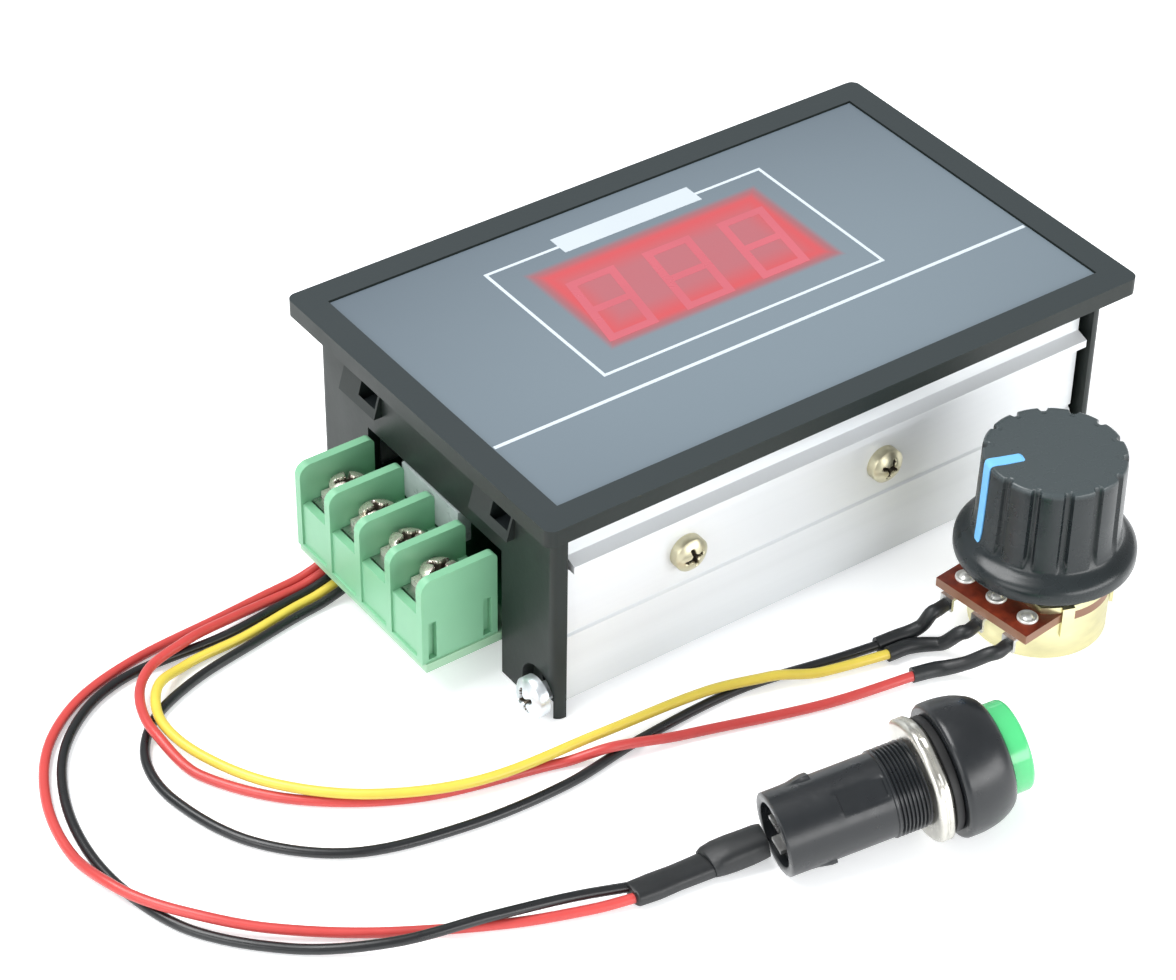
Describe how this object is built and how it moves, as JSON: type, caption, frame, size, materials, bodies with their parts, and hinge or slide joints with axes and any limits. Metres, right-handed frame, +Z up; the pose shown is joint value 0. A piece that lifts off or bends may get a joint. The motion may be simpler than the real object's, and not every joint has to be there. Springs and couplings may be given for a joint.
{
  "type": "dc motor speed controller",
  "caption": "Panel-mount DC motor speed controller: display housing with screw terminals, wired control knob and wired push button.",
  "frame": {"origin": "middle of the housing's open bottom, on the surface it stands on, on the axis of the panel cut-out", "axes": "+X along the housing away from the terminal strip, +Y across it away from the knob, +Z up through the display"},
  "size_m": [0.138, 0.0962, 0.03],
  "materials": {
    "shell_plastic": "satin",
    "label_film": "matt",
    "red_lens": "glossy, smoked",
    "black_plastic": "satin",
    "board_green": "satin",
    "bare_aluminium": "extruded, bright",
    "nickel_steel": "satin",
    "yellow_zinc": "satin",
    "tin": "satin",
    "pad_film": "matt",
    "capacitor_sleeve": "satin",
    "copper": "satin",
    "green_plastic": "satin",
    "glue": "satin",
    "wire_red_skin": "satin",
    "wire_black_skin": "satin",
    "wire_yellow_skin": "satin",
    "sleeve_grey": "satin",
    "phenolic": "satin",
    "knob_plastic": "matt",
    "pointer_blue": "matt",
    "switch_plastic": "satin",
    "seal_rubber": "matt",
    "cap_green": "glossy",
    "white_plastic": "satin",
    "brass": "satin"
  },
  "bodies": {
    "housing": {"front_shell": "shell_plastic", "front_label": "label_film", "display_lens": "red_lens", "display_module": "black_plastic", "display_board": "board_green", "board_header": "black_plastic", "main_board": "board_green", "heat_sink_near": "bare_aluminium", "heat_sink_far": "bare_aluminium", "end_screws": "nickel_steel", "heat_sink_screws": "yellow_zinc", "transistor_bodies": "black_plastic", "transistor_leads": "tin", "insulating_pads": "pad_film", "transistor_nuts": "nickel_steel", "bulk_capacitors": "capacitor_sleeve", "inductor": "copper", "control_chips": "black_plastic", "terminal_block": "green_plastic", "terminal_bars": "tin", "adhesive_bead": "glue", "wire_pads": "tin", "wire_switch_red": "wire_red_skin", "wire_pot_red": "wire_red_skin", "wire_switch_black": "wire_black_skin", "wire_pot_yellow": "wire_yellow_skin", "wire_pot_black": "wire_black_skin", "sleeve_pot_black": "sleeve_grey", "sleeve_pot_yellow": "sleeve_grey", "sleeve_pot_red": "sleeve_grey", "sleeve_switch": "sleeve_grey", "pot_can": "yellow_zinc", "pot_plate": "nickel_steel", "pot_wafer": "phenolic", "pot_rivets": "tin", "pot_lugs": "tin", "pot_washer": "nickel_steel", "pot_nut": "nickel_steel", "switch_body": "switch_plastic", "switch_base": "black_plastic", "switch_lugs": "tin", "switch_nut": "nickel_steel", "switch_seal": "seal_rubber", "switch_spring": "nickel_steel"},
    "rotor": {"pot_shaft": "bare_aluminium", "pot_wiper": "brass", "knob": "knob_plastic", "knob_pointer": "pointer_blue"},
    "button": {"button_cap": "cap_green", "button_plunger": "white_plastic", "contact_bridge": "brass"},
    "clamp_1": {"clamp_plate_1": "tin"},
    "screw_1": {"terminal_screw_1": "nickel_steel"},
    "clamp_2": {"clamp_plate_2": "tin"},
    "screw_2": {"terminal_screw_2": "nickel_steel"},
    "clamp_3": {"clamp_plate_3": "tin"},
    "screw_3": {"terminal_screw_3": "nickel_steel"},
    "clamp_4": {"clamp_plate_4": "tin"},
    "screw_4": {"terminal_screw_4": "nickel_steel"}
  },
  "joints": [
    {"name": "knob_turn", "type": "hinge", "parent": "housing", "child": "rotor", "pos_m": [0.0176, -0.0408, 0], "axis": [0, 0, 1], "range_deg": [-300, 0]},
    {"name": "button_press", "type": "slide", "parent": "housing", "child": "button", "axis": [-0.9584, 0.2443, -0.1478], "range_m": [0, 0.0024], "stiffness_N_per_m": 500, "springref_m": -0.002},
    {"name": "clamp_1_lift", "type": "slide", "parent": "housing", "child": "clamp_1", "axis": [0, 0, 1], "range_m": [0, 0.00125]},
    {"name": "terminal_1_turn", "type": "hinge", "parent": "clamp_1", "child": "screw_1", "pos_m": [-0.0452, -0.00953, 0.013], "axis": [0, 0, 1], "range_deg": [0, 900]},
    {"name": "clamp_2_lift", "type": "slide", "parent": "housing", "child": "clamp_2", "axis": [0, 0, 1], "range_m": [0, 0.00125]},
    {"name": "terminal_2_turn", "type": "hinge", "parent": "clamp_2", "child": "screw_2", "pos_m": [-0.0452, -0.00317, 0.013], "axis": [0, 0, 1], "range_deg": [0, 900]},
    {"name": "clamp_3_lift", "type": "slide", "parent": "housing", "child": "clamp_3", "axis": [0, 0, 1], "range_m": [0, 0.00125]},
    {"name": "terminal_3_turn", "type": "hinge", "parent": "clamp_3", "child": "screw_3", "pos_m": [-0.0452, 0.00317, 0.013], "axis": [0, 0, 1], "range_deg": [0, 900]},
    {"name": "clamp_4_lift", "type": "slide", "parent": "housing", "child": "clamp_4", "axis": [0, 0, 1], "range_m": [0, 0.00125]},
    {"name": "terminal_4_turn", "type": "hinge", "parent": "clamp_4", "child": "screw_4", "pos_m": [-0.0452, 0.00953, 0.013], "axis": [0, 0, 1], "range_deg": [0, 900]}
  ],
  "couplings": [
    {"joint": "terminal_1_turn", "follows": "clamp_1_lift", "rad_per_m": 12566},
    {"joint": "terminal_2_turn", "follows": "clamp_2_lift", "rad_per_m": 12566},
    {"joint": "terminal_3_turn", "follows": "clamp_3_lift", "rad_per_m": 12566},
    {"joint": "terminal_4_turn", "follows": "clamp_4_lift", "rad_per_m": 12566}
  ]
}
